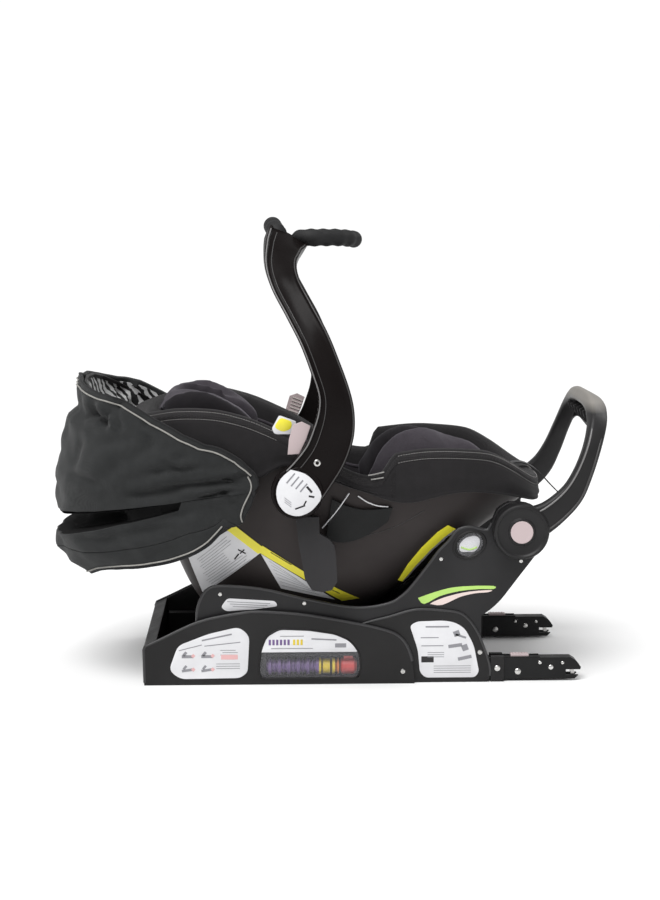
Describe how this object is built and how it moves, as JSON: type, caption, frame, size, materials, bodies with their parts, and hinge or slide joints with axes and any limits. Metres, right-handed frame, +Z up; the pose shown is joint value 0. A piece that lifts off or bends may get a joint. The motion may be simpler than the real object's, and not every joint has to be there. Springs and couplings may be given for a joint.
{
  "type": "infant car seat",
  "caption": "Infant carrier with folded canopy and carry handle, seated in a low base with a stabiliser bar and rigid lower-anchor connectors.",
  "frame": {"origin": "on the flat underside of the base tray, on the middle plane, at the middle of the object's length", "axes": "+X towards the foot end and the connectors, +Y towards the far side, +Z up"},
  "size_m": [0.8082, 0.442, 0.6685],
  "materials": {
    "black_plastic": "satin moulded, fine grain",
    "shell_plastic": "satin moulded",
    "gloss_plastic": "polished",
    "charcoal_plastic": "fine texture",
    "grip_rubber": "soft, matt",
    "mauve_plastic": "satin",
    "clear_plastic": "clear, polished",
    "strut_purple": "satin",
    "strut_red": "satin",
    "button_red": "satin",
    "pin_steel": "turned",
    "latch_metal": "black coating",
    "cover_fabric": "woven polyester over foam",
    "insert_fabric": "brushed plush over foam",
    "canopy_fabric": "fine woven polyester",
    "webbing": "flat webbing"
  },
  "bodies": {
    "base": {"base_tray": "black_plastic", "latch_housing": "black_plastic", "strut_window_near": "clear_plastic", "strut_window_far": "clear_plastic", "strut_stack_near": "strut_purple", "strut_stack_far": "strut_purple", "latch_bracket_near": "black_plastic", "latch_bracket_far": "black_plastic"},
    "carriage": {"carriage": "black_plastic", "bar_pin_near": "pin_steel", "bar_pin_far": "pin_steel", "level_window_near": "clear_plastic", "level_window_far": "clear_plastic", "strut_plunger_near": "strut_red", "strut_plunger_far": "strut_red"},
    "stabiliser_bar": {"stabiliser_bar": "black_plastic"},
    "bar_button_near": {"bar_button_near": "mauve_plastic"},
    "bar_button_far": {"bar_button_far": "mauve_plastic"},
    "connector_near": {"connector_near": "latch_metal"},
    "connector_far": {"connector_far": "latch_metal"},
    "jaw_near": {"connector_jaw_near": "pin_steel"},
    "jaw_far": {"connector_jaw_far": "pin_steel"},
    "release_near": {"connector_release_near": "mauve_plastic"},
    "release_far": {"connector_release_far": "mauve_plastic"},
    "carrier": {"carrier_shell": "shell_plastic", "seat_cover": "cover_fabric", "head_support": "insert_fabric", "belt_guide_near": "charcoal_plastic", "belt_guide_far": "charcoal_plastic", "canopy_pin_near": "black_plastic", "canopy_pin_far": "black_plastic", "side_panel_near": "charcoal_plastic", "side_panel_far": "charcoal_plastic", "shoulder_strap_near": "webbing", "shoulder_strap_far": "webbing", "chest_clip": "charcoal_plastic", "buckle": "charcoal_plastic", "crotch_strap": "webbing", "harness_adjuster": "charcoal_plastic", "adjuster_strap": "webbing", "canopy_rear_panel": "canopy_fabric"},
    "carrier_release": {"carrier_release_lever": "charcoal_plastic"},
    "buckle_button": {"buckle_button": "button_red"},
    "adjuster_button": {"adjuster_button": "mauve_plastic"},
    "handle": {"handle_arm_near": "gloss_plastic", "handle_arm_far": "gloss_plastic", "handle_pin_near": "pin_steel", "handle_pin_far": "pin_steel", "rear_grip": "grip_rubber", "front_grip": "grip_rubber"},
    "handle_button_near": {"handle_button_near": "mauve_plastic"},
    "handle_button_far": {"handle_button_far": "mauve_plastic"},
    "canopy_mid": {"canopy_mid_panel": "canopy_fabric", "canopy_mid_bow": "black_plastic"},
    "canopy_front": {"canopy_front_panel": "canopy_fabric", "canopy_front_bow": "black_plastic"}
  },
  "joints": [
    {"name": "crash_stroke", "type": "slide", "parent": "base", "child": "carriage", "axis": [-1, 0, 0], "range_m": [0, 0.04], "stiffness_N_per_m": 15000, "deforming": ["strut_stack_near", "strut_stack_far"]},
    {"name": "carrier_lift", "type": "slide", "parent": "carriage", "child": "carrier", "axis": [0, 0, 1], "range_m": [0, 0.3]},
    {"name": "carry_handle", "type": "hinge", "parent": "carrier", "child": "handle", "pos_m": [-0.053, 0, 0.288], "axis": [0, 1, 0], "range_deg": [-50, 60]},
    {"name": "canopy_mid", "type": "hinge", "parent": "carrier", "child": "canopy_mid", "pos_m": [-0.122, 0, 0.285], "axis": [0, 1, 0], "range_deg": [0, 40]},
    {"name": "canopy_front", "type": "hinge", "parent": "canopy_mid", "child": "canopy_front", "pos_m": [-0.122, 0, 0.285], "axis": [0, 1, 0], "range_deg": [0, 40]},
    {"name": "stabiliser_bar", "type": "hinge", "parent": "carriage", "child": "stabiliser_bar", "pos_m": [0.268, 0, 0.223], "axis": [0, 1, 0], "range_deg": [0, 55]},
    {"name": "carrier_release", "type": "slide", "parent": "carrier", "child": "carrier_release", "axis": [-1, 0, 0], "range_m": [0, 0.01], "stiffness_N_per_m": 500},
    {"name": "buckle_button", "type": "slide", "parent": "carrier", "child": "buckle_button", "axis": [0, 0, -1], "range_m": [0, 0.003], "stiffness_N_per_m": 600, "springref_m": -0.002},
    {"name": "adjuster_button", "type": "slide", "parent": "carrier", "child": "adjuster_button", "axis": [0, 0, -1], "range_m": [0, 0.004], "stiffness_N_per_m": 500, "springref_m": -0.002},
    {"name": "bar_button_near", "type": "slide", "parent": "stabiliser_bar", "child": "bar_button_near", "axis": [0, 1, 0], "range_m": [0, 0.004], "stiffness_N_per_m": 500},
    {"name": "handle_button_near", "type": "slide", "parent": "handle", "child": "handle_button_near", "axis": [0, 1, 0], "range_m": [0, 0.004], "stiffness_N_per_m": 400},
    {"name": "connector_slide_near", "type": "slide", "parent": "base", "child": "connector_near", "axis": [-1, 0, 0], "range_m": [0, 0.07]},
    {"name": "jaw_near", "type": "hinge", "parent": "connector_near", "child": "jaw_near", "pos_m": [0.316, -0.14, 0.02], "axis": [0, -1, 0], "range_deg": [0, 14], "stiffness_Nm_per_rad": 0.2, "springref_deg": -17.19},
    {"name": "release_near", "type": "slide", "parent": "connector_near", "child": "release_near", "axis": [-1, 0, 0], "range_m": [0, 0.006], "stiffness_N_per_m": 300, "springref_m": -0.002},
    {"name": "bar_button_far", "type": "slide", "parent": "stabiliser_bar", "child": "bar_button_far", "axis": [0, -1, 0], "range_m": [0, 0.004], "stiffness_N_per_m": 500},
    {"name": "handle_button_far", "type": "slide", "parent": "handle", "child": "handle_button_far", "axis": [0, -1, 0], "range_m": [0, 0.004], "stiffness_N_per_m": 400},
    {"name": "connector_slide_far", "type": "slide", "parent": "base", "child": "connector_far", "axis": [-1, 0, 0], "range_m": [0, 0.07]},
    {"name": "jaw_far", "type": "hinge", "parent": "connector_far", "child": "jaw_far", "pos_m": [0.316, 0.14, 0.02], "axis": [0, -1, 0], "range_deg": [0, 14], "stiffness_Nm_per_rad": 0.2, "springref_deg": -17.19},
    {"name": "release_far", "type": "slide", "parent": "connector_far", "child": "release_far", "axis": [-1, 0, 0], "range_m": [0, 0.006], "stiffness_N_per_m": 300, "springref_m": -0.002}
  ],
  "couplings": [
    {"joint": "canopy_front", "follows": "canopy_mid", "ratio": 1}
  ]
}
